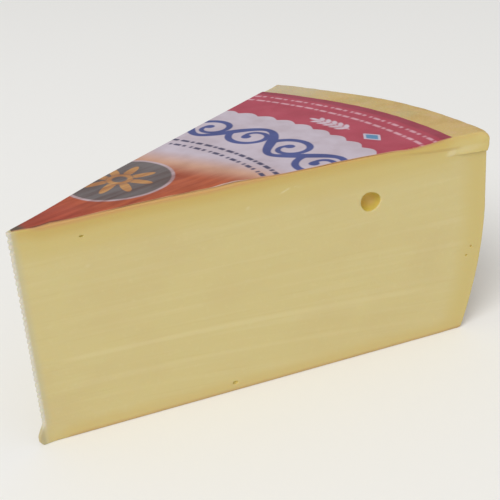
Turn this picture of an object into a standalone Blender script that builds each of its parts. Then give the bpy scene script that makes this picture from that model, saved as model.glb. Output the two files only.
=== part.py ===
"""A wedge of raclette cheese with the paper label that was cut with it.

Metres, +Z up. The wedge stands on the wheel's flat underside. +X runs from its tip to the
rind, and the origin is under the middle of its bounding box.
"""

import math
import random

import bmesh
import bpy
from mathutils import Vector

MM = 0.001

# The wheel, whose rim has a bead at the top, a slight belly, and a taper towards the base
wheel_radius = 148.6 * MM
wheel_height = 66.9 * MM
top_corner_radius = 2.2 * MM
bead_height = 4.6 * MM
neck_radius = 147.7 * MM
belly_radius = 148.4 * MM
belly_height = 42.0 * MM
base_radius = 141.4 * MM
base_corner_radius = 1.6 * MM
turning_steps = 144

# The two knife cuts, and how far along each of them the thin tip has broken off
wedge_angle = math.radians(37.6)
tip_broken_near = 2.3 * MM
tip_broken_far = 2.1 * MM

# The label, a paper sheet that shrank back a little from the near cut
label_radius = 135.2 * MM
label_thickness = 0.3 * MM
label_gap = 0.3 * MM
label_near_inset = 1.0 * MM
label_far_inset = 0.3 * MM
label_tip_distance = 3.6 * MM
label_arc_steps = 24

# The round eye in the near cut, with where its middle is: along the cut, inwards, and up
eye_size = (7.0 * MM, 8.0 * MM, 6.4 * MM)
eye_place = (107.1 * MM, 0.4 * MM, 53.0 * MM)

# Pinholes in the near cut: along the cut, up from the base, and across
pinhole_sunk = 0.12 * MM
pinholes = (
    (20.4 * MM, 61.2 * MM, 0.9 * MM),
    (60.1 * MM, 2.9 * MM, 1.2 * MM),
    (142.1 * MM, 26.9 * MM, 1.0 * MM),
    (143.7 * MM, 29.8 * MM, 0.9 * MM),
)

# The near cut's top edge is worn away, deeper and deeper up to a lip of dragged paste at the
# rind. The lip lies on the same slope, and stands proud of the cut at its lower edge.
worn_start = 108.0 * MM
worn_depth = 3.0 * MM
worn_width = 1.1 * MM
lip_start = 135.3 * MM
lip_end = 147.6 * MM
lip_torn_length = 2.2 * MM
lip_proud = 0.7 * MM
lip_thickness = 0.1 * MM

# The crumbly tip, notched all the way up from its foot
notch_spacing = 1.75 * MM
notch_radius = (0.5 * MM, 0.75 * MM)
notch_bite = (0.15 * MM, 0.4 * MM)
notch_seed = 7

# The foot that the knife squeezed out at the bottom of the tip, as far as the cuts' corner
foot_height = 7.0 * MM

half_angle = wedge_angle / 2
tip_distance = tip_broken_far * math.cos(half_angle)
middle_distance = wheel_radius / 2

cheese_colour = (0.62, 0.51, 0.24, 1.0)
label_colour = (0.42, 0.11, 0.14, 1.0)


def clear_scene():
    for old in list(bpy.data.objects):
        bpy.data.objects.remove(old)


def new_collection(name):
    collection = bpy.data.collections.new(name)
    bpy.context.scene.collection.children.link(collection)
    return collection


def new_material(name, colour, roughness):
    material = bpy.data.materials.new(name)
    material.use_nodes = True
    shader = material.node_tree.nodes["Principled BSDF"]
    shader.inputs["Base Color"].default_value = colour
    shader.inputs["Roughness"].default_value = roughness
    shader.inputs["Metallic"].default_value = 0.0
    material.diffuse_color = colour
    return material


def new_empty(name, collection, parent=None, turn=0.0, location=(0, 0, 0)):
    empty = bpy.data.objects.new(name, None)
    empty.location = location
    empty.rotation_euler.z = turn
    empty.parent = parent
    collection.objects.link(empty)
    return empty


def new_object(name, bm, collection, parent):
    """A mesh object from a bmesh, its faces turned outwards."""
    bmesh.ops.recalc_face_normals(bm, faces=bm.faces)
    mesh = bpy.data.meshes.new(name)
    bm.to_mesh(mesh)
    bm.free()
    obj = bpy.data.objects.new(name, mesh)
    obj.parent = parent
    collection.objects.link(obj)
    return obj


def as_helper(obj):
    obj.hide_render = True
    obj.display_type = "WIRE"
    return obj


def arc(centre, radius, start, end, steps):
    """Points on a round corner, in the plane of the profile or the outline."""
    angles = [start + (end - start) * i / steps for i in range(steps + 1)]
    return [
        (centre[0] + radius * math.cos(a), centre[1] + radius * math.sin(a))
        for a in angles
    ]


def rim_profile():
    """The wheel's half section, as (distance from the axis, height), from the top down."""
    top_centre = (wheel_radius - top_corner_radius, wheel_height - top_corner_radius)
    points = [(0.0, wheel_height)]
    points += arc(top_centre, top_corner_radius, math.pi / 2, 0.0, 6)

    # The bead falls back to the neck in a soft step
    bead_end = wheel_height - bead_height
    step = 1.2 * MM
    for i in range(5):
        share = i / 4
        ease = share * share * (3 - 2 * share)
        radius = wheel_radius + (neck_radius - wheel_radius) * ease
        points.append((radius, bead_end + step * (0.5 - share)))

    # Below the belly the side draws in more and more
    for i in range(11):
        share = i / 10
        height = belly_height + (base_corner_radius - belly_height) * share
        fallen = 1 - height / belly_height
        points.append((belly_radius - (belly_radius - base_radius) * fallen**2, height))
    last_radius = points.pop()[0]
    base_centre = (last_radius - base_corner_radius, base_corner_radius)
    points += arc(base_centre, base_corner_radius, 0.0, -math.pi / 2, 4)
    points.append((0.0, 0.0))
    return points


def make_wheel(name, collection, parent):
    """The whole wheel, its profile turned about the axis."""
    bm = bmesh.new()
    verts = [bm.verts.new((radius, 0.0, height)) for radius, height in rim_profile()]
    for upper, lower in zip(verts, verts[1:]):
        bm.edges.new((upper, lower))
    wheel = new_object(name, bm, collection, parent)
    screw = wheel.modifiers.new("turning", "SCREW")
    screw.axis = "Z"
    screw.angle = 2 * math.pi
    screw.steps = turning_steps
    screw.render_steps = turning_steps
    screw.use_merge_vertices = True
    screw.merge_threshold = 0.01 * MM
    return wheel


def make_prism(name, outline, low, high, collection, parent):
    """A flat outline drawn up between two heights."""
    bm = bmesh.new()
    base = bm.faces.new([bm.verts.new((x, y, low)) for x, y in outline])
    raised = bmesh.ops.extrude_face_region(bm, geom=[base])["geom"]
    bmesh.ops.translate(
        bm,
        verts=[v for v in raised if isinstance(v, bmesh.types.BMVert)],
        vec=(0, 0, high - low),
    )
    return as_helper(new_object(name, bm, collection, parent))


def make_hull(name, points, collection, parent):
    bm = bmesh.new()
    verts = [bm.verts.new(point) for point in points]
    bmesh.ops.convex_hull(bm, input=verts)
    return as_helper(new_object(name, bm, collection, parent))


def make_bubbles(name, bubbles, collection, parent):
    """Round hollows in the near cut, one for each (middle, size across) given."""
    bm = bmesh.new()
    for middle, size in bubbles:
        segments = 32 if size[0] > 3 * MM else 10
        made = bmesh.ops.create_uvsphere(
            bm, u_segments=segments, v_segments=segments // 2, radius=0.5
        )
        bmesh.ops.scale(bm, verts=made["verts"], vec=size)
        bmesh.ops.translate(bm, verts=made["verts"], vec=middle)
    for face in bm.faces:
        face.smooth = True
    return as_helper(new_object(name, bm, collection, parent))


def make_notches(name, collection, parent):
    """Small round bites across the tip, which leave it crumbly."""
    draw = random.Random(notch_seed)
    bm = bmesh.new()
    height = foot_height + notch_spacing / 2
    while height < wheel_height - notch_spacing:
        radius = draw.uniform(*notch_radius)
        bite = draw.uniform(*notch_bite)
        made = bmesh.ops.create_cone(
            bm,
            cap_ends=True,
            segments=8,
            radius1=radius,
            radius2=radius,
            depth=6 * MM,
        )
        for vert in made["verts"]:
            across, up = vert.co.z, vert.co.y
            vert.co = Vector((vert.co.x + tip_distance + bite - radius, across, up + height))
        height += notch_spacing * draw.uniform(0.92, 1.12)
    return as_helper(new_object(name, bm, collection, parent))


def on_cut(distance, side):
    """The point this far along the near cut (side -1) or the far one (side 1)."""
    return (distance * math.cos(half_angle), side * distance * math.sin(half_angle))


def knife_outline():
    """The plan of what the two cuts leave: a blunt tip, and sides that run out past the rim."""
    reach = wheel_radius * 1.2
    return [
        on_cut(tip_broken_near, -1),
        on_cut(reach, -1),
        on_cut(reach, 1),
        on_cut(tip_broken_far, 1),
    ]


def foot_points():
    """The squeezed-out foot, which thins to nothing up the tip and stays clear of the base."""
    clear = 0.1 * MM
    back = 2 * tip_distance
    points = [(tip_distance + 0.4 * MM, 0.0, foot_height)]
    for side in (-1, 1):
        points += [
            (0.0, side * 0.35 * MM, 0.42 * foot_height),
            (0.0, side * 0.4 * MM, 0.18 * foot_height),
            (0.4 * tip_distance, side * 0.5 * MM, clear),
            (back, side * 0.9 * MM, clear),
            (back, side * 0.9 * MM, 0.8 * foot_height),
        ]
    return points


def worn_slope(inset):
    """The height of the worn slope, where it is this far in from the near cut."""
    return wheel_height - worn_depth * (1 - inset / worn_width)


def worn_points():
    """What is worn off, in the near cut's own directions: along, inwards and up."""
    over = 1 * MM
    points = [
        (worn_start, -over, wheel_height + over),
        (worn_start, 0.0, wheel_height + 0.01 * MM),
    ]
    inner = worn_width + over * worn_width / worn_depth
    for along in (lip_start, wheel_radius + over):
        points += [
            (along, -over, wheel_height + over),
            (along, -over, worn_slope(-over)),
            (along, inner, worn_slope(inner)),
        ]
    return points


def lip_points():
    """The dragged lip, in the same directions, with its torn start."""
    back = 2 * MM
    slope_end = 0.8 * worn_width
    bottom = worn_slope(lip_thickness - lip_proud)
    points = [(lip_start - lip_torn_length, 0.4 * MM, bottom + 0.4 * MM)]
    for along in (lip_start, lip_end):
        points += [
            (along, -lip_proud, bottom),
            (along, back, bottom - 0.4 * MM),
            (along, slope_end - lip_thickness, worn_slope(slope_end)),
            (along, back, worn_slope(slope_end)),
        ]
    return points


def cut(obj, name, operation, other):
    boolean = obj.modifiers.new(name, "BOOLEAN")
    boolean.operation = operation
    boolean.object = other
    boolean.solver = "EXACT"


def make_cheese(collection, helpers, wheel_axis, near_cut):
    cheese = make_wheel("cheese", collection, wheel_axis)
    knife = make_prism(
        "knife_cuts", knife_outline(), -5 * MM, wheel_height + 5 * MM, helpers, wheel_axis
    )
    foot = make_hull("squeezed_foot", foot_points(), helpers, wheel_axis)
    notches = make_notches("tip_notches", helpers, wheel_axis)
    worn = make_hull("worn_edge", worn_points(), helpers, near_cut)
    lip = make_hull("dragged_lip", lip_points(), helpers, near_cut)

    bubbles = [(eye_place, eye_size)]
    for along, height, size in pinholes:
        bubbles.append(((along, pinhole_sunk, height), (size, size, size)))
    holes = make_bubbles("eye_and_pinholes", bubbles, helpers, near_cut)

    cut(cheese, "wedge", "INTERSECT", knife)
    cut(cheese, "squeezed foot", "UNION", foot)
    cut(cheese, "crumbly tip", "DIFFERENCE", notches)
    cut(cheese, "eye and pinholes", "DIFFERENCE", holes)
    cut(cheese, "worn edge", "DIFFERENCE", worn)
    cut(cheese, "dragged lip", "UNION", lip)
    cheese.data.materials.append(new_material("cheese_paste", cheese_colour, 0.45))
    return cheese


def inset_from_cut(distance, side, inset):
    """The point this far along a cut, moved inwards from it."""
    x, y = on_cut(distance, side)
    return (x + inset * math.sin(half_angle), y - side * inset * math.cos(half_angle))


def label_outline():
    """The label's plan: its tip, the round outer edge, and straight sides along both cuts."""
    start = math.asin(label_near_inset / label_radius) - half_angle
    end = half_angle - math.asin(label_far_inset / label_radius)
    outline = [inset_from_cut(label_tip_distance, -1, label_near_inset)]
    outline += arc((0.0, 0.0), label_radius, start, end, label_arc_steps)
    outline.append(inset_from_cut(label_tip_distance, 1, label_far_inset))
    return outline


def make_label(collection, parent):
    curve = bpy.data.curves.new("label", "CURVE")
    curve.dimensions = "2D"
    curve.fill_mode = "BOTH"
    curve.extrude = label_thickness / 2
    outline = label_outline()
    spline = curve.splines.new("POLY")
    spline.points.add(len(outline) - 1)
    for point, (x, y) in zip(spline.points, outline):
        point.co = (x, y, 0.0, 1.0)
    spline.use_cyclic_u = True
    label = bpy.data.objects.new("label", curve)
    label.location.z = wheel_height + label_gap + label_thickness / 2
    label.parent = parent
    collection.objects.link(label)
    curve.materials.append(new_material("printed_paper", label_colour, 0.55))
    return label


def main():
    clear_scene()
    parts = new_collection("raclette_wedge")
    helpers = new_collection("cutters")
    wheel_axis = new_empty("wheel_axis", parts, location=(-middle_distance, 0, 0))
    near_cut = new_empty("near_cut", helpers, parent=wheel_axis, turn=-half_angle)
    make_cheese(parts, helpers, wheel_axis, near_cut)
    make_label(parts, wheel_axis)


main()
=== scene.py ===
import math
import random

import bpy
import numpy as np
from mathutils import Matrix, Vector, noise
from mathutils.geometry import delaunay_2d_cdt


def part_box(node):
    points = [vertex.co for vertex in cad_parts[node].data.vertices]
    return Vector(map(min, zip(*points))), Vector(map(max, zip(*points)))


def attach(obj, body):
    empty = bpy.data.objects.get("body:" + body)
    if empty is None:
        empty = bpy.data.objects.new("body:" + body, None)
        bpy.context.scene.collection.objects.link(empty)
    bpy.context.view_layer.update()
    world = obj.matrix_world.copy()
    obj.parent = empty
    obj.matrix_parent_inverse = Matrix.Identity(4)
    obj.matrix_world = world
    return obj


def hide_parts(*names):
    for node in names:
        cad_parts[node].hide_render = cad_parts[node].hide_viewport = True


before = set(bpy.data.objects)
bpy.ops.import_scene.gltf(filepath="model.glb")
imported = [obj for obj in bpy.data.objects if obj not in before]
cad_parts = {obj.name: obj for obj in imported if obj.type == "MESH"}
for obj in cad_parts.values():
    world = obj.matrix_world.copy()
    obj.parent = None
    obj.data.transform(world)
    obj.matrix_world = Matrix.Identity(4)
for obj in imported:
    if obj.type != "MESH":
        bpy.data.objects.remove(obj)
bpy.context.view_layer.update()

# A wedge of raclette with its paper label. Shapes are worked out in millimetres and written in
# metres. The wheel's axis stands at the wedge's tip, and +X runs from it to the rind.
mm = 0.001

lowCorner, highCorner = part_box("cheese")
axisPlace = lowCorner.x / mm
wheelRadius = (highCorner.x - lowCorner.x) / mm
wheelHeight = highCorner.z / mm


def smooth(value, start, end):  # 0 at the start to 1 at the end, with soft ends
    share = np.clip((value - start) / (end - start), 0.0, 1.0)
    return share * share * (3 - 2 * share)


def speckle(points, scale, offset=0.0):  # smooth noise from about -1 to 1 at each point
    return np.array([noise.noise(Vector(p)) for p in points / np.array(scale) + offset])


def spread(stops):  # places whose spacing changes along the way, from (end, spacing) pairs
    places = [0.0]
    for end, spacing in stops:
        start = places[-1]
        count = max(1, round((end - start) / spacing))
        places += [start + (end - start) * i / count for i in range(1, count + 1)]
    return np.array(places)


def paint(colour):  # sRGB hex to the linear colour that shaders take
    channels = [int(colour[i:i + 2], 16) / 255 for i in (1, 3, 5)]
    linear = [c / 12.92 if c <= 0.04045 else ((c + 0.055) / 1.055) ** 2.4 for c in channels]
    return (*linear, 1.0)


def addNode(tree, kind, settings=None, inputs=None):
    node = tree.nodes.new(kind)
    for name, value in (settings or {}).items():
        setattr(node, name, value)
    for name, value in (inputs or {}).items():
        if isinstance(value, bpy.types.NodeSocket):
            tree.links.new(value, node.inputs[name])
        else:
            node.inputs[name].default_value = value
    return node


def newMaterial(name):
    material = bpy.data.materials.new(name)
    material.use_nodes = True
    material.node_tree.nodes.clear()
    return material


def addPatterns(tree, patterns):  # noise for each: where it is read, its size in mm, its detail
    waves = {}
    for name, (source, size, detail) in patterns.items():
        scaled = addNode(tree, "ShaderNodeVectorMath", {"operation": "DIVIDE"}, {0: source, 1: size})
        waves[name] = addNode(tree, "ShaderNodeTexNoise", None,
                              {"Vector": scaled.outputs[0], "Scale": 1.0, "Detail": detail}).outputs["Fac"]
    return waves


def newPiece(name, points, faces, material):  # a smooth mesh object, from millimetres
    mesh = bpy.data.meshes.new(name)
    mesh.from_pydata((points * mm).tolist(), [], faces)
    mesh.validate()
    mesh.shade_smooth()
    mesh.materials.append(material)
    piece = bpy.data.objects.new(name, mesh)
    bpy.context.scene.collection.objects.link(piece)
    return piece


def readPoints(mesh, field="co"):
    values = np.empty(len(mesh.vertices) * 3)
    mesh.vertices.foreach_get(field, values)
    return values.reshape(-1, 3)


def writeShare(mesh, name, values):  # one number for each vertex, for the shader
    attribute = mesh.attributes.new(name, "FLOAT", "POINT")
    attribute.data.foreach_set("value", np.asarray(values, dtype=np.float32))


# Studio

print("studio: camera, soft light and pale floor")

studio = {
    "cameraPlace": (-157.0, -199.2, 156.05),
    "cameraTurn": 39.56,        # degrees from +Y towards +X
    "cameraDown": 25.52,
    "cameraRoll": -3.571,
    "lens": 63.9,
    "keyPlace": (-2600, -1000, 2900),
    "keySize": 2600,
    "keyPower": 97.0,           # watts
    "skyStrength": 0.56,
    "floorSize": 20000,
    "floorColour": "#F2F1EE",
}


def makeCamera():
    turn, down, roll = [math.radians(studio[key]) for key in ("cameraTurn", "cameraDown", "cameraRoll")]
    ahead = Vector((math.sin(turn) * math.cos(down), math.cos(turn) * math.cos(down), -math.sin(down)))
    right = Vector((math.cos(turn), -math.sin(turn), 0))
    up = right.cross(ahead)
    rolledRight = right * math.cos(roll) + up * math.sin(roll)
    rolledUp = up * math.cos(roll) - right * math.sin(roll)
    camera = bpy.data.objects.new("camera", bpy.data.cameras.new("camera"))
    camera.data.lens = studio["lens"]
    camera.data.sensor_width = 36
    camera.data.clip_start = 0.01
    turned = Matrix((rolledRight, rolledUp, -ahead)).transposed().to_4x4()
    camera.matrix_world = Matrix.Translation(Vector(studio["cameraPlace"]) * mm) @ turned
    bpy.context.scene.collection.objects.link(camera)
    bpy.context.scene.camera = camera


def makeLight():
    light = bpy.data.lights.new("softbox", "AREA")
    light.shape = "DISK"
    light.size = studio["keySize"] * mm
    light.energy = studio["keyPower"]
    softbox = bpy.data.objects.new("softbox", light)
    softbox.location = Vector(studio["keyPlace"]) * mm
    towards = Vector((0, 0, wheelHeight * mm / 2)) - softbox.location
    softbox.rotation_euler = towards.to_track_quat("-Z", "Y").to_euler()
    bpy.context.scene.collection.objects.link(softbox)

    world = bpy.data.worlds.new("white studio")
    world.use_nodes = True
    world.node_tree.nodes.clear()
    sky = addNode(world.node_tree, "ShaderNodeBackground", None,
                  {"Color": (1, 1, 1, 1), "Strength": studio["skyStrength"]})
    addNode(world.node_tree, "ShaderNodeOutputWorld", None, {"Surface": sky.outputs[0]})
    bpy.context.scene.world = world
    bpy.context.scene.view_settings.view_transform = "Standard"


def makeFloor():  # board painted with matt emulsion by roller: pale, with no gloss
    material = newMaterial("matt emulsion on studio board")
    tree = material.node_tree
    shader = addNode(tree, "ShaderNodeBsdfPrincipled", None,
                     {"Base Color": paint(studio["floorColour"]), "Roughness": 0.9})
    addNode(tree, "ShaderNodeOutputMaterial", None, {"Surface": shader.outputs[0]})
    half = studio["floorSize"] / 2
    corners = np.array([(-half, -half, 0), (half, -half, 0), (half, half, 0), (-half, half, 0)])
    newPiece("floor", corners, [(0, 1, 2, 3)], material)


makeCamera()
makeLight()
makeFloor()


# Cheese

cheese = {
    "angle": 37.6,              # degrees between the two cuts
    "topCorner": 2.2,           # roundings of the wheel's corners
    "baseCorner": 1.6,
    "cutEdge": 0.4,             # rounding of the edges that the knife left
    "standingEdge": 0.5,        # rounding where a cut meets the rim
    "beadEnd": 62.3,            # the bead under the top corner falls back to the neck here
    "beadStep": 1.2,
    "neckRadius": 147.7,
    "bellyRadius": 148.4,
    "bellyHeight": 42.0,
    "baseRadius": 141.4,
    "tipEdge": 0.25,
    "tipBulge": 0.15,
    "tipDroop": (0.8, 8.0, 42.0),   # how far the tip sinks: in full to here, and not at all from here
    "droopFoot": 40.0,              # and nothing sinks below this height
    # The top face is a little uneven. It stands higher at the rim by the near cut, where its
    # corner is also squarer: a power of 2 is a round corner, more is squarer
    "rimLift": 0.55,
    "rimLiftStart": (122, 141),     # from the axis: where it starts and where it is full
    "rimLiftTurn": (13, -4),        # the same, in degrees from the wedge's middle to the far cut
    "rimSquare": 5.0,
    # Its edges rise and dip along the near cut and the far one: along the cut, how far
    "nearLift": ((45, 0.0), (57, -0.1), (65, 0.32), (71, 0.28), (80, 0.1), (112, 0.2), (122, 0.0)),
    "nearLiftReach": 22.0,          # in from the cut
    "farLift": ((135, 0.0), (139, -0.35), (143.5, -0.3), (147.5, 0.0)),
    "farLiftReach": 6.0,
    "liftFoot": (60, 66),           # all of it fades out down the cuts between these heights
    "footHeight": 7.0,          # the foot that the knife squeezed out
    "footProud": 0.36,
    "tipOutline": ((0.1, 0.8), (1.26, 0.0), (2.94, 0.0), (6.3, 1.99)),  # height, from the axis
    "notchSpacing": 1.75,
    "notchRadius": (0.5, 0.75),
    "notchBite": (0.2, 0.5),
    "notchSeed": 7,
    "wornStart": 108.0,         # the near cut's top edge is worn from here on
    "wornDepth": 3.0,
    "wornWidth": 1.1,
    "wornFlat": 0.7,
    "lipStart": 135.3,          # paste dragged out past the cut
    "lipEnd": 148.0,
    "lipTorn": 2.2,
    "lipProud": 0.7,
    "lipBottom": (62.2, 61.7),  # height of its lower edge at its start and its end
    "eyePlace": (107.05, 0.4, 52.9),    # along the near cut, inwards, up
    "eyeSize": (6.5, 7.0, 6.4),
    "eyeMouth": 0.18,           # rounding of its edge
    # how its outline leaves the round: waves round it, size, direction in degrees
    "eyeWaves": ((1, 0.05, 170), (2, 0.045, -24), (3, 0.03, 38)),
    "pinholeSunk": 0.12,
    "pinholeMouth": 0.08,
    # pinholes: along, up, length, height, depth
    "pinholes": ((20.4, 61.2, 1.2, 0.6, 0.4), (60.1, 2.9, 1.5, 1.2, 0.45), (142.1, 26.9, 0.9, 0.8, 0.4),
                 (143.7, 29.8, 0.8, 0.8, 0.4)),
    "streakMiddle": 42.0,       # the knife's streaks fan out from this height
    "streakFan": 0.55,
    # blade marks: height at the tip, width, strength
    "bladeMarks": ((25.4, 1.9, 1.0), (17.4, 1.7, 0.6), (37.0, 1.3, 0.45), (33.6, 1.2, 0.4),
                   (11.5, 1.4, 0.35), (56.6, 1.2, 0.35), (53.2, 1.2, 0.3)),
    "cutWave": 0.12,            # reliefs: the knife's wander, its streaks, the curd
    "streakRelief": 0.035,
    "curdRelief": 0.025,
    "rindWave": 0.2,
    "rindRelief": 0.07,
    "smearRelief": 0.06,
    # the paste has dried less under the top face: from here, in full from here, by how much
    "freshTop": ((66, 84, 0.6), (131, 139, 2.4), (11, 5, 1.3)),
    # smears of paste on the near cut: along, up, length, width, slope in degrees, strength
    "smears": ((79.2, 62.0, 4.2, 0.7, 24, 0.8), (83.0, 62.5, 3.0, 0.5, -6, 0.6),
               (67.6, 59.2, 1.6, 1.3, 0, 0.5), (20.9, 52.4, 2.4, 1.4, 14, 0.4),
               (134.8, 62.9, 5.0, 2.4, 12, 0.6), (140.5, 63.2, 15.0, 2.4, 2, 0.4)),
}

halfAngle = math.radians(cheese["angle"] / 2)
lowZone, highZone = 5.0, 60.0   # between these heights the rings of the mesh lie level


def rimRadius(height):  # the wheel's half section
    neck, belly, base = cheese["neckRadius"], cheese["bellyRadius"], cheese["baseRadius"]
    bellyHeight, step = cheese["bellyHeight"], cheese["beadStep"]
    beadFoot = cheese["beadEnd"] - step / 2
    upper = neck + (wheelRadius - neck) * smooth(height, beadFoot, beadFoot + step)
    middle = belly + (neck - belly) * (height - bellyHeight) / (beadFoot - bellyHeight)
    lower = belly - (belly - base) * (1 - height / bellyHeight) ** 2
    radius = np.where(height > beadFoot, upper, np.where(height > bellyHeight, middle, lower))

    top, corner = cheese["topCorner"], cheese["baseCorner"]
    over = np.clip((height - wheelHeight + top) / top, 0, 1)
    radius = radius - top * (1 - np.sqrt(1 - over ** 2))
    under = np.clip((corner - height) / corner, 0, 1)
    cornerRadius = belly - (belly - base) * (1 - corner / bellyHeight) ** 2
    return np.where(height < corner, cornerRadius - corner * (1 - np.sqrt(1 - under ** 2)), radius)


def onCut(along, inset, side):  # plan of a point at the near cut (side -1) or the far one (side 1)
    x = along * math.cos(halfAngle) + inset * math.sin(halfAngle)
    y = side * (along * math.sin(halfAngle) - inset * math.cos(halfAngle))
    return x, y


def fromCut(x, y, side):  # the reverse: how far along a cut, and how far in from it
    along = x * math.cos(halfAngle) + side * y * math.sin(halfAngle)
    inset = x * math.sin(halfAngle) - side * y * math.cos(halfAngle)
    return along, inset


def tipDistance(height):  # from the axis to the broken tip, with its notches and its foot
    heights, distances = zip(*cheese["tipOutline"])
    draw = random.Random(cheese["notchSeed"])
    notch = cheese["footHeight"] + cheese["notchSpacing"] / 2
    bitten = np.zeros_like(height)
    while notch < wheelHeight - cheese["notchSpacing"]:
        radius = draw.uniform(*cheese["notchRadius"])
        bite = draw.uniform(*cheese["notchBite"])
        off = np.clip(np.abs(height - notch) / radius, 0, 1)
        bitten = np.maximum(bitten, bite - radius * (1 - np.sqrt(1 - off ** 2)))
        notch += cheese["notchSpacing"] * draw.uniform(0.92, 1.12)
    return np.interp(height, heights, distances) + bitten


def topEdge(along, side):  # a cut's top edge: its drop, its width, and how flat its slope is
    edge = cheese["cutEdge"]
    worn = (along - cheese["wornStart"]) / (cheese["lipStart"] - cheese["wornStart"])
    worn = np.clip(worn, 0, 1) * (side < 0)
    toRim = smooth(along, wheelRadius - 4, wheelRadius - 0.8)
    toTip = smooth(along, 6, 3)
    drop = edge + (cheese["wornDepth"] - edge) * worn
    drop = drop + (cheese["topCorner"] - drop) * toRim
    drop = drop + (cheese["tipEdge"] - drop) * toTip
    width = edge + (cheese["wornWidth"] - edge) * worn
    width = width + (cheese["tipEdge"] - width) * toTip
    flat = 1 + cheese["wornFlat"] * worn * (1 - toRim)
    return drop, width, flat


def baseEdge(along):
    edge = cheese["cutEdge"]
    toTip = smooth(along, 6, 3)
    width = edge + (cheese["tipEdge"] - edge) * toTip
    drop = width + (cheese["baseCorner"] - width) * smooth(along, wheelRadius - 8, wheelRadius - 4)
    return drop, width


def ringLevel(zone, value, top, base):  # heights and insets of one ring, from its edges' sizes
    drop, width, flat = top
    rise, under = base
    level = np.zeros_like(drop)
    if zone == "base":
        return rise * (1 - math.sin(value)), under * (1 - math.cos(value))
    if zone == "low":
        return rise + (lowZone - rise) * value, level
    if zone == "side":
        return level + value, level
    if zone == "high":
        return highZone + (wheelHeight - drop - highZone) * value, level
    bend = wheelHeight - drop * (1 - math.sin(value) ** flat)
    return bend, width * (1 - abs(math.cos(value)) ** flat)


def cutRun(shares, side, zone, value):  # one ring's points along a cut, from the tip to the rim
    nominal = 2 + shares * (wheelRadius - 2.5)
    height, inset = ringLevel(zone, value, topEdge(nominal, side), baseEdge(nominal))
    proud = cheese["footProud"] * smooth(height, cheese["footHeight"], 3) * smooth(shares, 0.028, 0)
    tipInset = inset[0]
    inset = inset - proud
    start = (tipDistance(height) + tipInset - inset * math.sin(halfAngle)) / math.cos(halfAngle)
    rounding = cheese["standingEdge"]
    end = np.sqrt((rimRadius(height) - rounding) ** 2 - (inset + rounding) ** 2)
    along = start + (end - start) * shares
    return along, inset, height


def makeRing(zone, value, spots):
    rounding = cheese["standingEdge"]
    rimEdges = (np.array([cheese["topCorner"]]), np.array([0.0]), np.array([1.0]))
    rimHeight = ringLevel(zone, value, rimEdges, (np.array([cheese["baseCorner"]]), np.array([0.0])))[0][0]
    radius = float(rimRadius(rimHeight))
    corners, turns = {}, {}
    for side in (-1, 1):
        along, inset, height = cutRun(spots["near" if side < 0 else "far"], side, zone, value)
        x, y = onCut(along, inset, side)
        corners[side] = np.stack([x, y, height], axis=1)
        centreInset = inset[-1] + rounding
        centreAlong = math.sqrt((radius - rounding) ** 2 - centreInset ** 2)
        turns[side] = math.atan2(centreInset, centreAlong)
        bend = np.linspace(-math.pi / 2, turns[side], 5)[1:]
        x, y = onCut(centreAlong + rounding * np.cos(bend), centreInset + rounding * np.sin(bend), side)
        rounded = np.stack([x, y, np.full_like(x, rimHeight)], axis=1)
        corners[side] = np.concatenate([corners[side], rounded])
    azimuth = np.linspace(turns[-1] - halfAngle, halfAngle - turns[1], spots["rim"])[1:-1]
    rim = np.stack([radius * np.cos(azimuth), radius * np.sin(azimuth),
                    np.full_like(azimuth, rimHeight)], axis=1)
    runs = [corners[-1], rim, corners[1][::-1]]

    # The blunt tip closes the ring, a little rounded
    share = np.linspace(0, 1, spots["tip"])[1:-1, None]
    tip = corners[1][0] + (corners[-1][0] - corners[1][0]) * share
    tip[:, 0] -= cheese["tipBulge"] * 4 * (share * (1 - share))[:, 0]
    return np.concatenate(runs + [tip])


def hexPoints(reach, spacing):  # a triangular grid over the wedge's plan
    rows = []
    rise = 0.866                # between rows, where the spacing is 1
    for row in range(int(reach / (spacing * rise)) * 2 + 3):
        y = (row * rise - reach / spacing * rise) * spacing
        x = np.arange(spacing * (0.5 + 0.5 * (row % 2)), reach, spacing)
        rows.append(np.stack([x, np.full_like(x, y)], axis=1))
    return np.concatenate(rows)


def insideWedge(points, near, far, radius, tip):
    nearInset = fromCut(points[:, 0], points[:, 1], -1)[1]
    farInset = fromCut(points[:, 0], points[:, 1], 1)[1]
    inside = (nearInset > near) & (farInset > far) & (points[:, 0] > tip)
    return points[inside & (np.hypot(points[:, 0], points[:, 1]) < radius)]


def fillOutline(outline, inner):  # triangles over an outline with points inside it, facing up
    points = [Vector(p) for p in np.concatenate([outline, inner])]
    made = delaunay_2d_cdt(points, [], [list(range(len(outline)))], 1, 1e-7)
    first = [origin[0] for origin in made[3]]
    return [[first[i] for i in face] for face in made[2]]


def tipDroop(along):  # how far the top has sunk towards the tip
    depth, full, end = cheese["tipDroop"]
    return depth * smooth(along, end, full)


def byNearCut(x, y):  # 1 over the half of the rim by the near cut, 0 at its far end
    return smooth(np.degrees(np.arctan2(y, x)), *cheese["rimLiftTurn"])


def topLift(x, y):  # how far the top face stands above its usual height
    along, inset = fromCut(x, y, -1)
    farAlong, farInset = fromCut(x, y, 1)
    byNear = np.interp(along, *zip(*cheese["nearLift"])) * smooth(inset, cheese["nearLiftReach"], 1)
    byFar = np.interp(farAlong, *zip(*cheese["farLift"])) * smooth(farInset, cheese["farLiftReach"], 0.5)
    byRim = cheese["rimLift"] * byNearCut(x, y)
    return byNear + (byRim - byNear) * smooth(np.hypot(x, y), *cheese["rimLiftStart"]) + byFar


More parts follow.
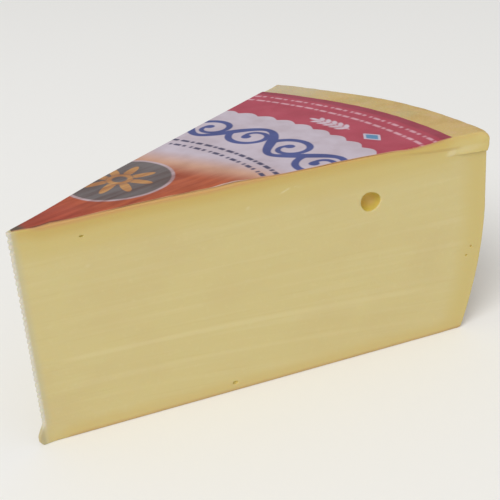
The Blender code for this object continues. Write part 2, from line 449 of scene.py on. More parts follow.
def squaredCorner(x, y, z):  # how far the rounding under the rim's top edge is filled out, out and up
    corner, power = cheese["topCorner"], cheese["rimSquare"]
    radius = np.hypot(x, y)
    out = np.clip((radius - wheelRadius) / corner + 1, 0, 1)
    up = np.clip((z - wheelHeight) / corner + 1, 0, 1)
    away = np.maximum(np.hypot(out, up), 1e-6)
    out, up = out / away, up / away
    fuller = corner * ((out ** power + up ** power + 1e-9) ** (-1 / power) - 1) * (away > 0.7)
    fuller = fuller * byNearCut(x, y) * smooth(fromCut(x, y, -1)[1], 0.3, 3.0)
    return np.stack([fuller * out * x / radius, fuller * out * y / radius, fuller * up], axis=1)


def lipReach(along, height):  # how far the dragged lip stands out from the near cut
    share = np.clip((along - cheese["lipStart"]) / (cheese["lipEnd"] - cheese["lipStart"]), 0, 1)
    bottom = cheese["lipBottom"][0] + (cheese["lipBottom"][1] - cheese["lipBottom"][0]) * share
    slopeFoot = wheelHeight - cheese["wornDepth"]
    proud = np.clip((slopeFoot - height) / (slopeFoot - bottom), 0, 1) * cheese["lipProud"]
    under = smooth(height, bottom - 0.25, bottom)
    torn = smooth(along, cheese["lipStart"] - cheese["lipTorn"], cheese["lipStart"])
    torn = torn * (0.3 + 0.7 * smooth(along, cheese["lipStart"], cheese["lipStart"] + 6))
    return proud * under * torn * smooth(along, cheese["lipEnd"] + 0.5, cheese["lipEnd"] - 0.4)


def smearShare(along, height, inset):
    share = np.zeros_like(along)
    for middle, up, length, width, tilt, strength in cheese["smears"]:
        tilt = math.radians(tilt)
        across, over = along - middle, height - up
        lengthwise = across * math.cos(tilt) + over * math.sin(tilt)
        sideways = over * math.cos(tilt) - across * math.sin(tilt)
        off = np.hypot(2 * lengthwise / length, 2 * sideways / width)
        share = np.maximum(share, strength * smooth(off, 1.3, 0.3))
    return share * (inset < 1)


def streakHeight(radius, height):  # the height at the tip of the streak through a point of a cut
    fan = cheese["streakFan"] * (radius / wheelRadius) ** 1.6
    return (height + fan * cheese["streakMiddle"]) / (1 + fan)


def bladeMark(radius, height, inset):
    start = streakHeight(radius, height)
    share = np.zeros_like(radius)
    for middle, width, strength in cheese["bladeMarks"]:
        share += strength * smooth(np.abs(start - middle), width * 0.7, 0)
    return share * smooth(radius, 142, 112) * smooth(radius, 5, 16) * (inset < 1)


def reliefOf(points):  # how far each point of the surface moves out along its normal
    x, y, z = points.T
    radius = np.hypot(x, y)
    nearAlong, nearInset = fromCut(x, y, -1)
    farInset = fromCut(x, y, 1)[1]
    onNear, onFar = smooth(nearInset, 1.2, 0.4), smooth(farInset, 1.2, 0.4)
    onCuts = np.maximum(onNear, onFar)
    clearOfBase = smooth(z, 0.1, 1.5)
    onRim = smooth(rimRadius(z) - radius, 1.2, 0.4) * (1 - onCuts)
    onTop = smooth(wheelHeight - z, 0.8, 0.2) * (1 - onCuts) * smooth(radius, 132, 138)

    cutPoints = np.stack([radius, 40.0 * (nearInset < farInset), streakHeight(radius, z)], axis=1)
    cuts = cheese["cutWave"] * speckle(cutPoints, (45, 1, 30), 3.1)
    cuts += cheese["streakRelief"] * speckle(cutPoints, (50, 1, 1.7), 8.3)
    cuts += cheese["streakRelief"] * 0.6 * speckle(cutPoints, (24, 1, 0.95), 21.7)
    cuts += cheese["streakRelief"] * bladeMark(radius, z, np.minimum(nearInset, farInset))
    cuts += cheese["curdRelief"] * speckle(points, (2.4, 2.4, 2.0), 5.5)
    cuts += cheese["smearRelief"] * smearShare(nearAlong, z, nearInset)
    rind = cheese["rindWave"] * speckle(points, (17, 17, 11), 1.9)
    rind += cheese["rindRelief"] * speckle(points, (3.6, 3.6, 3.0), 12.4)
    rind += cheese["rindRelief"] * 0.6 * speckle(points, (1.9, 1.9, 1.9), 31.0)
    return (onCuts * cuts + onRim * rind + onTop * rind * 0.5) * clearOfBase


def makeHollows():  # the eye and the pinholes, as one cutter
    points, faces = [], []
    eyeWidth, eyeDepth, eyeHeight = cheese["eyeSize"]
    along, sunk, up = cheese["eyePlace"]
    eyeSteps, pinholeSteps = 56, 14
    places = [(along, sunk, up, eyeWidth / 2, eyeDepth / 2, eyeHeight / 2, cheese["eyeMouth"], eyeSteps)]
    for along, up, length, height, depth in cheese["pinholes"]:
        places.append((along, cheese["pinholeSunk"], up, length / 2, depth, height / 2,
                       cheese["pinholeMouth"], pinholeSteps))
    for along, sunk, up, wide, deep, tall, mouth, steps in places:
        bend = np.linspace(0, 2 * math.pi, steps, endpoint=False)
        uneven = np.ones_like(bend)
        for count, size, turn in cheese["eyeWaves"]:
            uneven += size * np.cos(count * bend - math.radians(turn))
        depths = [-1.5 * mouth - 0.4, 0.0]
        depths += [mouth * (1 - math.cos(math.radians(a))) for a in (25, 45, 65, 90)]
        deepest = sunk + deep
        bends = (8, 17, 27, 38, 50, 62, 74, 84)
        depths += [mouth + (deepest - mouth) * math.sin(math.radians(a)) for a in bends]
        start = len(points)
        for depth in depths:
            ball = math.sqrt(max(0.0, 1 - ((max(depth, 0) - sunk) / deep) ** 2))
            flare = 0.0
            if depth < mouth:
                flare = mouth * (1 - math.sqrt(max(0.0, 1 - (1 - max(depth, 0) / mouth) ** 2)))
            flare += max(0.0, -depth) * 1.6
            us = (wide * ball + flare) * uneven * np.cos(bend) + along
            vs = (tall * ball + flare) * uneven * np.sin(bend) + up
            xs, ys = onCut(us, np.full_like(us, depth), -1)
            points += list(zip(xs, ys, vs))
        rings = len(depths)
        for ring in range(rings - 1):
            for i in range(steps):
                a, b = start + ring * steps + i, start + ring * steps + (i + 1) % steps
                faces.append((b, a, a + steps, b + steps))
        x, y = onCut(along, deepest, -1)
        points.append((x, y, up))
        bottom, last = len(points) - 1, start + (rings - 1) * steps
        faces += [(last + (i + 1) % steps, last + i, bottom) for i in range(steps)]
        faces.append(tuple(start + i for i in range(steps)))
    return np.array(points), faces


def carveHollows(piece):
    points, faces = makeHollows()
    cutter = newPiece("hollows", points + (axisPlace, 0, 0), faces, piece.data.materials[0])
    boolean = piece.modifiers.new("eye and pinholes", "BOOLEAN")
    boolean.operation = "DIFFERENCE"
    boolean.object = cutter
    boolean.solver = "MANIFOLD"
    carved = bpy.data.meshes.new_from_object(piece.evaluated_get(bpy.context.evaluated_depsgraph_get()))
    piece.modifiers.clear()
    piece.data = carved
    cutMesh = cutter.data
    bpy.data.objects.remove(cutter)
    bpy.data.meshes.remove(cutMesh)


def hollowShare(along, inset, height):  # 1 inside the eye, about half inside a pinhole
    eyeAlong, _, eyeUp = cheese["eyePlace"]
    wide, deep, tall = cheese["eyeSize"]
    off = np.hypot((along - eyeAlong) / wide, (height - eyeUp) / tall)
    share = smooth(inset, 0.1, 1.0) * (off < 0.7)
    for middle, up, length, tall, _ in cheese["pinholes"]:
        off = np.hypot((along - middle) / length, (height - up) / tall)
        share = np.maximum(share, 0.55 * smooth(inset, 0.03, 0.25) * (off < 0.7))
    return share * (inset < deep + 1)


def writeCheeseShares(mesh):  # what the shader needs to know of where it is in the wedge
    x, y, z = (readPoints(mesh) / mm - (axisPlace, 0, 0)).T
    radius = np.hypot(x, y)
    nearAlong, nearInset = fromCut(x, y, -1)
    farInset = fromCut(x, y, 1)[1]
    toRim = rimRadius(z) - radius
    level = z - topLift(x, y) * smooth(z, *cheese["liftFoot"])
    toTop = wheelHeight - level - tipDroop(radius)
    toCut = np.minimum(np.minimum(nearInset, farInset), x - 1.9)
    skin = smooth(np.minimum(np.minimum(toRim, toTop), z) - toCut, 0.15, -0.25)
    skin *= 1 - smooth(nearInset, 2.8, 1.6) * smooth(toTop, 1.0, 0.3) * smooth(radius, 137, 132)
    skin *= 1 - 0.6 * smooth(nearInset, 2.4, 0.8) * smooth(toTop, 1.0, 0.3) * smooth(radius, 133, 137)
    skin *= smooth(radius, 3, 6)
    freshTop = sum(much * smooth(radius, start, full) for start, full, much in cheese["freshTop"])
    # Painted shade: a darker line in the crease where the worn slope's foot meets the near cut
    slopeFoot = wheelHeight - topEdge(nearAlong, -1)[0]
    creaseShade = smooth(np.abs(level - slopeFoot), 0.6, 0.1) * (nearInset < 0.6)
    creaseShade *= smooth(nearAlong, 112, 126) * smooth(nearAlong, 140, 135)
    writeShare(mesh, "fromAxis", radius)
    writeShare(mesh, "creaseShade", creaseShade)
    writeShare(mesh, "streak", streakHeight(radius, z))
    writeShare(mesh, "mark", bladeMark(radius, z, np.minimum(nearInset, farInset)))
    writeShare(mesh, "rimDepth", toRim)
    writeShare(mesh, "baseDepth", z + 2.5 * smooth(radius, 10, 4))
    writeShare(mesh, "topDepth", toTop + freshTop)
    writeShare(mesh, "skin", skin)
    aboveFoot = 0.25 + 0.75 * smooth(z, 3, 9)
    writeShare(mesh, "tip", smooth(x, 2.9, 2.2) * aboveFoot)
    writeShare(mesh, "tipNear", smooth(radius, 5.6, 2.0) * aboveFoot)
    writeShare(mesh, "foot", smooth(radius, 2.6, 1.0) * smooth(z, 8, 4))
    hollow = hollowShare(nearAlong, nearInset, z)
    writeShare(mesh, "hollow", hollow)
    writeShare(mesh, "hollowFloor", hollow * smooth(nearInset, 1.2, 3.6))
    # Painted light and shade in the eye: its shaded left wall is painted lighter and its lit right side
    # darker, which softens the eye's own shading
    eyeAlong, _, eyeUp = cheese["eyePlace"]
    across = (nearAlong - eyeAlong - 0.5 * (z - eyeUp)) / 3.2
    inEye = hollow * (np.abs(nearAlong - eyeAlong) < 5)
    writeShare(mesh, "eyePaintedLight", inEye * np.clip(-across, 0, 1))
    writeShare(mesh, "eyePaintedShade", inEye * np.clip(across, 0, 1))
    # Painted light: the rind's top turns paler and greyer towards the far cut
    writeShare(mesh, "farEndLight", smooth(y, 5, 46) * smooth(z, 50, 64))
    writeShare(mesh, "smear", smearShare(nearAlong, level, nearInset))


def makeCheese(material):
    cutLength, levelStep = 146.1, 0.42
    steps = {
        "near": spread(((4, 0.5), (130, 1.12), (cutLength, 0.5))) / cutLength,
        "far": spread(((4, 0.7), (142, 1.4), (cutLength, 0.6))) / cutLength,
        "rim": 106,
        "tip": 8,
    }
    levels = [("base", math.radians(a)) for a in (90, 70, 50, 30, 15, 0)]
    levels += [("low", share) for share in np.linspace(0, 1, 12)[1:]]
    heights = np.arange(lowZone + levelStep, highZone - 0.2, levelStep)
    levels += [("side", height) for height in heights]
    levels += [("high", share) for share in np.linspace(0, 1, 18)]
    levels += [("top", math.radians(a)) for a in (12, 26, 40, 54, 68, 80, 90)]
    rings = [makeRing(zone, value, steps) for zone, value in levels]
    count = len(rings[0])
    points = np.concatenate(rings)
    faces = []
    for ring in range(len(rings) - 1):
        for i in range(count):
            a, b = ring * count + i, ring * count + (i + 1) % count
            faces.append((a, b, b + count, a + count))

    # The flat top is finer where the rind shows, past the label. The base closes the wedge.
    topRing, baseRing = len(points) - count, 0
    fine, coarse = hexPoints(wheelRadius, 1.3), hexPoints(wheelRadius, 3.2)
    edge = cheese["wornWidth"]
    fine = insideWedge(fine, edge + 0.9, 1.2, wheelRadius - cheese["topCorner"] - 0.9, 10)
    fine = fine[np.hypot(*fine.T) > 131.5]
    coarse = insideWedge(coarse, edge + 1.6, 2.2, 130, 9)
    inner = np.concatenate([fine, coarse])
    top = fillOutline(points[topRing:, :2], inner)
    base = len(points)
    faces += [[topRing + i if i < count else base + i - count for i in face] for face in top]
    points = np.concatenate([points, np.column_stack([inner, np.full(len(inner), wheelHeight)])])

    coarse = insideWedge(hexPoints(wheelRadius, 3.6), 2.2, 2.2, cheese["baseRadius"] - 3, 9)
    under = fillOutline(points[baseRing:count, :2], coarse)
    base = len(points)
    faces += [[i if i < count else base + i - count for i in reversed(face)] for face in under]
    points = np.concatenate([points, np.column_stack([coarse, np.zeros(len(coarse))])])

    piece = newPiece("raclette_wedge", points + (axisPlace, 0, 0), faces, material)
    normals = readPoints(piece.data, "normal")
    along, inset = fromCut(points[:, 0], points[:, 1], -1)
    outwards = np.array([-math.sin(halfAngle), -math.cos(halfAngle), 0])
    lip = lipReach(along, points[:, 2]) * (np.abs(inset) < 0.3)
    moved = points + normals * reliefOf(points)[:, None] + outwards * lip[:, None]
    x, y, z = points.T
    moved += squaredCorner(x, y, z)
    moved[:, 2] += topLift(x, y) * smooth(z, *cheese["liftFoot"])
    moved[:, 2] -= tipDroop(np.hypot(x, y)) * smooth(z, cheese["droopFoot"], wheelHeight)
    moved = (moved + (axisPlace, 0, 0)) * mm
    piece.data.vertices.foreach_set("co", moved.ravel())
    piece.data.update()
    carveHollows(piece)
    piece.data.set_sharp_from_angle(angle=math.radians(55))
    writeCheeseShares(piece.data)
    return piece


def pressedCheese():
    # Pressed cow's milk paste cut with a knife: pale yellow, waxy and slightly see-through, with
    # faint streaks where the blade dragged. Round it a washed rind: tan, dry and mottled.
    material = newMaterial("pressed raclette paste with washed rind")
    tree = material.node_tree
    shares = {}
    for name in ("fromAxis", "streak", "mark", "rimDepth", "baseDepth", "topDepth", "skin", "creaseShade",
                 "tip", "tipNear", "foot", "hollow", "hollowFloor", "eyePaintedLight", "eyePaintedShade", "smear",
                 "farEndLight"):
        shares[name] = addNode(tree, "ShaderNodeAttribute", {"attribute_name": name}).outputs["Fac"]
    place = addNode(tree, "ShaderNodeTexCoord").outputs["Object"]
    inMm = addNode(tree, "ShaderNodeVectorMath", {"operation": "SCALE"}, {0: place, "Scale": 1 / mm})
    cutPlace = addNode(tree, "ShaderNodeCombineXYZ", None,
                       {"X": shares["fromAxis"], "Z": shares["streak"]})

    waves = addPatterns(tree, {
        "longStreak": (cutPlace.outputs[0], (60, 1, 1.9), 2),
        "fineStreak": (cutPlace.outputs[0], (26, 1, 0.9), 1),
        "cloud": (inMm.outputs[0], (26, 26, 18), 2),
        "curd": (inMm.outputs[0], (1.8, 1.8, 1.5), 2),
        "rindPatch": (inMm.outputs[0], (9, 9, 7), 3),
        "rindBlush": (inMm.outputs[0], (5, 5, 6), 2),
        "rindGrain": (inMm.outputs[0], (0.9, 0.9, 0.9), 3),
        "crumb": (inMm.outputs[0], (0.8, 0.8, 0.8), 2),   # about 0.3 mm in real paste
    })

    # Each coat of colour: what drives it, where it starts, where it is full, and how strong it is
    pasteCoats = (
        ("#DACD9C", waves["longStreak"], 0.50, 0.74, 0.22),
        ("#C6B274", waves["fineStreak"], 0.46, 0.26, 0.16),
        ("#DCCF9C", shares["mark"], 0.0, 1.0, 0.36),
        ("#C9B47E", waves["cloud"], 0.45, 0.75, 0.35),
        ("#D8CB94", waves["curd"], 0.55, 0.80, 0.22),
        ("#CDB976", shares["topDepth"], 13.0, 5.0, 0.90),
        ("#C7AB60", shares["topDepth"], 5.5, 1.2, 0.90),
        ("#C6965F", shares["topDepth"], 1.6, 0.2, 0.80),
        ("#CDB974", shares["rimDepth"], 12.0, 3.0, 0.85),
        ("#CDB674", shares["baseDepth"], 6.0, 1.5, 0.70),
        ("#C39D66", shares["baseDepth"], 1.5, 0.4, 0.65),
        # painted shade in the crease at the worn slope's foot
        ("#B89C5C", shares["creaseShade"], 0.0, 1.0, 0.6),
        ("#E2D8B2", shares["smear"], 0.0, 1.0, 0.55),
        ("#C1B994", shares["tipNear"], 0.0, 1.0, 0.75),
        ("#C8C3B4", shares["tip"], 0.0, 1.0, 0.9),
        ("#A89E7C", shares["foot"], 0.0, 1.0, 0.6),
        ("#D4C052", shares["hollow"], 0.0, 1.0, 0.9),
        # painted light on the eye's left wall, then painted shade on its right side
        ("#FBE496", shares["eyePaintedLight"], 0.0, 1.0, 0.9),
        ("#C4AE55", shares["eyePaintedShade"], 0.0, 1.0, 0.85),
        ("#DDB26A", shares["hollowFloor"], 0.0, 1.0, 0.45),
    )
    rindCoats = (
        ("#BB995A", waves["rindPatch"], 0.42, 0.66, 0.7),
        ("#CCAA80", waves["rindBlush"], 0.50, 0.72, 0.5),
        ("#B4A878", waves["cloud"], 0.50, 0.68, 0.5),
        ("#D8BE84", waves["rindGrain"], 0.52, 0.72, 0.4),
        # painted light, paler and greyer towards the far cut
        ("#C2BAA2", shares["farEndLight"], 0.0, 1.0, 0.6),
    )
    bases = []
    for colour, coats in ((paint("#D0C086"), pasteCoats), (paint("#C8AA6C"), rindCoats)):
        for tint, driver, start, full, strength in coats:
            amount = addNode(tree, "ShaderNodeMapRange", {"interpolation_type": "SMOOTHSTEP"},
                             {"Value": driver, "From Min": start, "From Max": full, "To Max": strength})
            mixed = addNode(tree, "ShaderNodeMix", {"data_type": "RGBA"},
                            {0: amount.outputs[0], 6: colour, 7: paint(tint)})
            colour = mixed.outputs[2]
        bases.append(colour)
    colour = addNode(tree, "ShaderNodeMix", {"data_type": "RGBA"},
                     {0: shares["skin"], 6: bases[0], 7: bases[1]}).outputs[2]

    # Fresh paste is waxy, the rind and the crumbly tip are dry
    gloss = addNode(tree, "ShaderNodeMapRange", None,
                    {"Value": waves["curd"], "To Min": 0.40, "To Max": 0.54})
    dry = addNode(tree, "ShaderNodeMath", {"operation": "MAXIMUM"}, {0: shares["skin"], 1: shares["tip"]})
    roughness = addNode(tree, "ShaderNodeMix", {"data_type": "FLOAT"},
                        {0: dry.outputs[0], 2: gloss.outputs[0], 3: 0.66})

    pasteBump = addNode(tree, "ShaderNodeBump", None,
                        {"Strength": 0.25, "Distance": 0.1 * mm, "Height": waves["crumb"]})
    streakBump = addNode(tree, "ShaderNodeBump", None,
                         {"Strength": 0.35, "Distance": 0.12 * mm, "Height": waves["fineStreak"],
                          "Normal": pasteBump.outputs[0]})
    rindBump = addNode(tree, "ShaderNodeBump", None,
                       {"Strength": 0.7, "Distance": 0.3 * mm, "Height": waves["rindGrain"]})
    normal = addNode(tree, "ShaderNodeMix", {"data_type": "VECTOR"},
                     {0: shares["skin"], 4: streakBump.outputs[0], 5: rindBump.outputs[0]})

    shader = addNode(tree, "ShaderNodeBsdfPrincipled", None, {
        "Base Color": colour,
        "Roughness": roughness.outputs[0],
        "Normal": normal.outputs[1],
        "IOR": 1.45,
        "Subsurface Weight": 0.25,
        "Subsurface Radius": (1.0, 0.62, 0.25),
        "Subsurface Scale": 3.0 * mm,
    })
    addNode(tree, "ShaderNodeOutputMaterial", None, {"Surface": shader.outputs[0]})
    return material


print("cheese: the wedge, its rind, its cuts and its eye")
wedge = makeCheese(pressedCheese())
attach(wedge, "root")
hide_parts("cheese")


# Label

label = {
    "radius": 135.8,
    "tip": 3.0,
    "thickness": 0.12,
    "gap": 0.04,                # clear of the cheese under it
    "cockle": 0.16,             # how far damp paper has risen in waves
    "grid": 0.62,
    "farInset": 0.3,
    # the near edge: along the cut, how far in from it
    "nearEdge": ((3, 0.5), (6, 0.4), (8.5, 0.15), (10.3, 0.35), (13, 1.1), (16, 0.8), (24, 0.45),
                 (32, 0.6), (40, 0.9), (57, 1.2), (66, 1.0), (75, 0.4), (84, 0.4), (97, 0.9),
                 (112, 0.45), (124, 0.45), (136, 1.3)),
    "curlPlace": (56.0, 70.0),  # the near edge has come loose here
    "curl": 0.05,
    "fade": (63.0, 15.0),       # where the warm colours end, and how much farther by the near cut
    "tipShade": 24.0,
    "stain": 6.4,
    "bandStart": 109.4,         # the crimson band, with a scalloped edge
    "scallop": (4.3, 1.9),      # degrees, depth
    "outerStripe": 3.6,
    "beadRows": (129.6, 125.0),
    "scrollMiddle": 91.5,       # a scrolling stem, with a curl in each of its bays
    "scrollStart": -7.0,        # how far round the wheel from the near cut
    "scrollPeriod": 35.0,
    "scrollSwing": 7.4,
    "curlTurns": 1.12,
    "darkRows": (77.4, 73.4),
    "roundel": (36.8, 20.4, 15.4),      # x, y from the near cut, radius
    "petals": 8,
    "lozenge": (117.0, 7.6, 4.6, 3.1),  # from the axis, degrees, half length, half width
    "sprig": (116.5, 16.5),             # from the axis, degrees
}


def nearInsetOf(along):
    places, insets = zip(*label["nearEdge"])
    return np.interp(along, places, insets) + 0.12 * np.sin(along / 2.3) * np.sin(along / 5.1)


def labelOutline():
    step = label["grid"] * 0.8
    along = np.arange(label["tip"], label["radius"] - 0.4, step)
    near = np.stack(onCut(along, nearInsetOf(along), -1), axis=1)
    start = math.atan2(near[-1][1], near[-1][0])
    end = halfAngle - label["farInset"] / label["radius"]
    turns = np.linspace(start, end, int((end - start) * label["radius"] / step))[1:]
    uneven = label["radius"] + 0.1 * np.sin(turns * 37) * np.sin(turns * 91)
    arc = np.stack([uneven * np.cos(turns), uneven * np.sin(turns)], axis=1)
    along = np.arange(label["radius"] - 0.6, label["tip"], -step * 1.5)
    far = np.stack(onCut(along, np.full_like(along, label["farInset"]), 1), axis=1)
    return np.concatenate([near, arc, far])


def cheeseTop(x, y):  # height of the cheese's top face and its worn near edge
    along, inset = fromCut(x, y, -1)
    drop, width, flat = topEdge(along, -1)
    cosine = (1 - np.clip(inset / width, 0, 1)) ** (1 / flat)
    fallen = drop * (1 - (1 - cosine ** 2) ** (flat / 2))
    return wheelHeight - fallen - tipDroop(np.hypot(x, y)) + topLift(x, y)


def labelHeight(x, y):  # underside of the paper
    along, inset = fromCut(x, y, -1)
    clear = np.minimum(np.minimum(inset, fromCut(x, y, 1)[1]), label["radius"] - np.hypot(x, y))
    clear = smooth(clear, 0.8, 4.0)
    points = np.stack([x, y, np.zeros_like(x)], axis=1)
    cockle = label["cockle"] * (0.6 + 0.5 * speckle(points, (16, 16, 1), 4.2))
    cockle += label["cockle"] * 0.35 * speckle(points, (6, 6, 1), 9.6)
    start, end = label["curlPlace"]
    middle = (start + end) / 2
    curl = smooth(np.abs(along - middle), (end - start) / 2, 1.0) * smooth(inset, 4.0, 1.0)
    return cheeseTop(x, y) + label["gap"] + np.maximum(cockle, 0) * clear + label["curl"] * curl


def beadRow(radius, turn, middle, thickness, period, pattern):
    # a broken line round the wheel: each (start, end) is a dash, as shares of one period
    run = np.mod(turn * math.pi / 180 * middle, period) / period
    inside = np.full_like(radius, -9.0)
    for start, end in pattern:
        lengthwise = ((end - start) / 2 - np.abs(run - (start + end) / 2)) * period
        inside = np.maximum(inside, np.minimum(lengthwise, thickness / 2 - np.abs(radius - middle)))
    return inside


def sprigShape(run, out):  # a stem with a pair of leaves at every few millimetres
    inside = np.minimum(0.28 - np.abs(out), 7.5 - np.abs(run))
    leaves = [(place, side, 42) for place in (-6.2, -3.4, -0.6, 2.2, 5.0) for side in (-1, 1)]
    for place, side, tilt in leaves + [(6.6, 1, 0)]:
        tilt = side * math.radians(tilt)
        along = (run - place) * math.cos(tilt) + out * math.sin(tilt) - 2.1
        across = out * math.cos(tilt) - (run - place) * math.sin(tilt)
        inside = np.maximum(inside, 0.85 * (1 - np.hypot(along / 1.9, across / 0.85)))
    return inside


def scrollShape(run, out):  # inside the scroll, from places round the wheel and out from its middle
    period, swing = label["scrollPeriod"], label["scrollSwing"]
    strokes = []
    stemSteps, stemStep, curlSteps = 260, 0.3, 90
    for step in range(stemSteps):
        place = label["scrollStart"] + step * stemStep
        phase = 2 * math.pi * (place - label["scrollStart"]) / period
        strokes.append((place, swing * math.sin(phase), 1.15 + 0.6 * math.cos(phase) ** 2))
    for bay in range(5):
        middle = label["scrollStart"] + period * (0.25 + 0.5 * bay)
        way = -1 if bay % 2 == 0 else 1
        for step in range(curlSteps):
            share = step / (curlSteps - 1)
            bearing = way * share * 2 * math.pi * label["curlTurns"]
            reach = period / 4 - (period / 4 - 2.0) * share ** 0.85
            thickness = 1.25 - 0.5 * share + 0.9 * max(0.0, share - 0.9) * 10
            strokes.append((middle + reach * math.cos(bearing), reach * math.sin(bearing), thickness))
    inside = np.full_like(run, -9.0)
    for place, height, half in strokes:
        inside = np.maximum(inside, half - np.hypot(run - place, out - height))
    return inside


def rosetteShape(x, y):
    middleX, middleY, radius = label["roundel"]
    away = np.hypot(x - middleX, y - middleY)
    bearing = np.arctan2(y - middleY, x - middleX)
    petal = radius * (0.46 + 0.24 * np.cos(label["petals"] * bearing))
    ring = 0.8 - np.abs(away - radius * 0.2)
    return np.maximum(np.minimum(petal - away, away - radius * 0.27), ring)


def printShapes(x, y):  # every colour field, as how far inside it each point lies
    along, inset = fromCut(x, y, -1)
    radius = np.hypot(x, y)
    turn = np.degrees(np.arctan2(inset, along))
    px, py = radius * np.cos(np.radians(turn)), radius * np.sin(np.radians(turn))
    fadeStart, farther = label["fade"]
    fade = fadeStart + farther * (1 - turn / cheese["angle"]) ** 2
    period, depth = label["scallop"]
    scallops = label["bandStart"] + depth * (np.abs(np.sin(math.pi * turn / period)) - 0.4)
    middleX, middleY, size = label["roundel"]
    away = np.hypot(px - middleX, py - middleY)
    far, bearing, half, wide = label["lozenge"]
    lx, ly = radius - far, (turn - bearing) * math.pi / 180 * far
    lozenge = 1 - (np.abs(ly) / half + np.abs(lx) / wide)
    run, out = np.radians(turn) * label["scrollMiddle"], radius - label["scrollMiddle"]
    sprigFar, sprigTurn = label["sprig"]
    dashes = ((0.03, 0.30), (0.38, 0.52), (0.60, 0.93))
    dots = ((0.04, 0.20), (0.30, 0.62), (0.72, 0.84))
    start, end = label["curlPlace"]
    loose = smooth(np.abs(along - (start + end) / 2), (end - start) / 2, 1)
    fromEdge = inset - nearInsetOf(along)
    return {
        "warmFade": fade - radius,
        "terracotta": fade - 9 - radius,
        "tipShade": label["tipShade"] - radius,
        "roundel": size - away,
        "roundelRim": 0.5 - np.abs(away - size),
        "rosette": rosetteShape(px, py),
        "darkRowOuter": beadRow(radius, turn, label["darkRows"][0], 1.5, 9.6, dashes),
        "darkRowInner": beadRow(radius, turn + 1, label["darkRows"][1], 1.5, 8.2, dots),
        "scroll": scrollShape(run, out),
        "band": radius - scallops,
        "bandEdge": radius - label["radius"] + label["outerStripe"],
        "paleRowOuter": beadRow(radius, turn, label["beadRows"][0], 1.3, 8.8, dots),
        "paleRowInner": beadRow(radius, turn + 2, label["beadRows"][1], 1.3, 10.4, dashes),
        "sprig": sprigShape(np.radians(turn - sprigTurn) * sprigFar, radius - sprigFar),
        "lozengeRim": lozenge * wide,
        "lozenge": lozenge * wide - 0.9,
        "stain": label["stain"] - radius,
        "bare": 0.22 - fromEdge,
        # Painted shadow: a dark line along the near edge, from 6 to 19 mm out from the tip
        "nearEdgeShadow": 0.8 * smooth(along, 6, 9) * smooth(along, 19, 14) - fromEdge,
        "torn": 0.75 * loose - 0.1 - fromEdge,
    }


def makeLabel(material):
    outline = labelOutline()
    grid = label["grid"]
    inner = hexPoints(label["radius"], grid)
    along, inset = fromCut(inner[:, 0], inner[:, 1], -1)
    inner = inner[inset > nearInsetOf(along) + grid * 0.5]
    inner = insideWedge(inner, 0, label["farInset"] + grid * 0.6, label["radius"] - grid * 0.6,
                        label["tip"] + grid)
    top = fillOutline(outline, inner)
    plan = np.concatenate([outline, inner])
    under = labelHeight(plan[:, 0], plan[:, 1])
    count, rim = len(plan), len(outline)
    points = np.concatenate([np.column_stack([plan, under + label["thickness"]]),
                             np.column_stack([plan, under])])
    faces = list(top)
    faces += [[count + i for i in reversed(face)] for face in top]
    faces += [[count + i, count + (i + 1) % rim, (i + 1) % rim, i] for i in range(rim)]
    piece = newPiece("printed_label", points + (axisPlace, 0, 0), faces, material)
    piece.data.set_sharp_from_angle(angle=math.radians(50))
    for name, inside in printShapes(plan[:, 0], plan[:, 1]).items():
        writeShare(piece.data, name, np.concatenate([inside, inside]))
    return piece


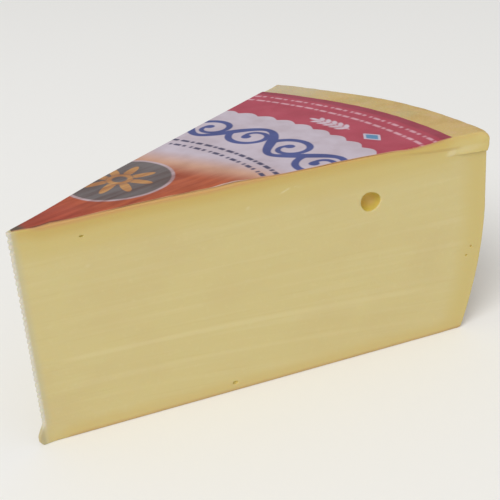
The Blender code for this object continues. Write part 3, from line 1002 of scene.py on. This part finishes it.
def printedPaper():
    # Uncoated label paper printed in flat inks, damp from the cheese: the inks are a little
    # uneven, the sheet has a soft sheen, and its cut edge shows the bare fibres.
    material = newMaterial("offset printed label paper")
    tree = material.node_tree
    place = addNode(tree, "ShaderNodeTexCoord").outputs["Object"]
    inMm = addNode(tree, "ShaderNodeVectorMath", {"operation": "SCALE"}, {0: place, "Scale": 1 / mm})
    waves = addPatterns(tree, {
        "blotch": (inMm.outputs[0], (7, 7, 7), 3),
        "grain": (inMm.outputs[0], (19, 2.2, 5), 3),
        "fibre": (inMm.outputs[0], (0.6, 0.6, 0.6), 3),     # drawn coarser than real fibres, to show
    })

    # Each ink in printing order: the field it fills, its colour, and how soft its edge is in mm
    inks = (
        ("warmFade", "#CB9D84", 6.0),
        ("terracotta", "#B85C36", 5.5),
        ("tipShade", "#B24E36", 9.0),
        ("roundel", "#716A6A", 0.25),
        ("roundelRim", "#C3AFB5", 0.3),
        ("rosette", "#C5945C", 0.35),
        ("darkRowOuter", "#4A4664", 0.3),
        ("darkRowInner", "#4A4664", 0.3),
        ("scroll", "#45508C", 0.3),
        ("band", "#B04155", 0.3),
        ("bandEdge", "#9C374B", 0.8),
        ("paleRowOuter", "#D5A0AC", 0.4),
        ("paleRowInner", "#D5A0AC", 0.4),
        ("sprig", "#CFBCC8", 0.3),
        ("lozengeRim", "#CAC2D2", 0.2),
        ("lozenge", "#5B8DB4", 0.3),
        # painted shadow along the near edge, laid down like an ink
        ("nearEdgeShadow", "#74402C", 0.5),
        ("stain", "#6E6252", 1.3),
        ("bare", "#CC9A66", 0.2),
        ("torn", "#DCC2B2", 0.25),
    )
    fields = {}
    colour = paint("#C7BBC7")
    for name, tint, soft in inks:
        field = addNode(tree, "ShaderNodeAttribute", {"attribute_name": name})
        share = addNode(tree, "ShaderNodeMapRange", {"interpolation_type": "SMOOTHSTEP"},
                        {"Value": field.outputs["Fac"], "From Min": -soft, "From Max": soft})
        fields[name] = share.outputs[0]
        colour = addNode(tree, "ShaderNodeMix", {"data_type": "RGBA"},
                         {0: fields[name], 6: colour, 7: paint(tint)}).outputs[2]

    # Brushed streaks in the terracotta, then blotches where grease has come through
    streak = addNode(tree, "ShaderNodeMapRange", None,
                     {"Value": waves["grain"], "From Min": 0.35, "From Max": 0.7, "To Max": 0.7})
    grained = addNode(tree, "ShaderNodeMath", {"operation": "MULTIPLY"},
                      {0: streak.outputs[0], 1: fields["terracotta"]})
    darker = addNode(tree, "ShaderNodeMix", {"data_type": "RGBA", "blend_type": "MULTIPLY"},
                     {0: grained.outputs[0], 6: colour, 7: paint("#B98A80")})
    blotch = addNode(tree, "ShaderNodeMapRange", None,
                     {"Value": waves["blotch"], "From Min": 0.3, "From Max": 0.7, "To Max": 0.5})
    worn = addNode(tree, "ShaderNodeMix", {"data_type": "RGBA", "blend_type": "MULTIPLY"},
                   {0: blotch.outputs[0], 6: darker.outputs[2], 7: paint("#DCD2CE")})

    sheen = addNode(tree, "ShaderNodeMapRange", None,
                    {"Value": waves["blotch"], "To Min": 0.42, "To Max": 0.58})
    bump = addNode(tree, "ShaderNodeBump", None,
                   {"Strength": 0.3, "Distance": 0.05 * mm, "Height": waves["fibre"]})
    shader = addNode(tree, "ShaderNodeBsdfPrincipled", None, {
        "Base Color": worn.outputs[2],
        "Roughness": sheen.outputs[0],
        "Normal": bump.outputs[0],
        "IOR": 1.5,
        "Specular IOR Level": 0.25,
    })
    addNode(tree, "ShaderNodeOutputMaterial", None, {"Surface": shader.outputs[0]})
    return material


print("label: printed paper on the top face")
paper = makeLabel(printedPaper())
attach(paper, "root")
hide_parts("label")

print("done: cheese has", len(wedge.data.polygons), "faces, label", len(paper.data.polygons))
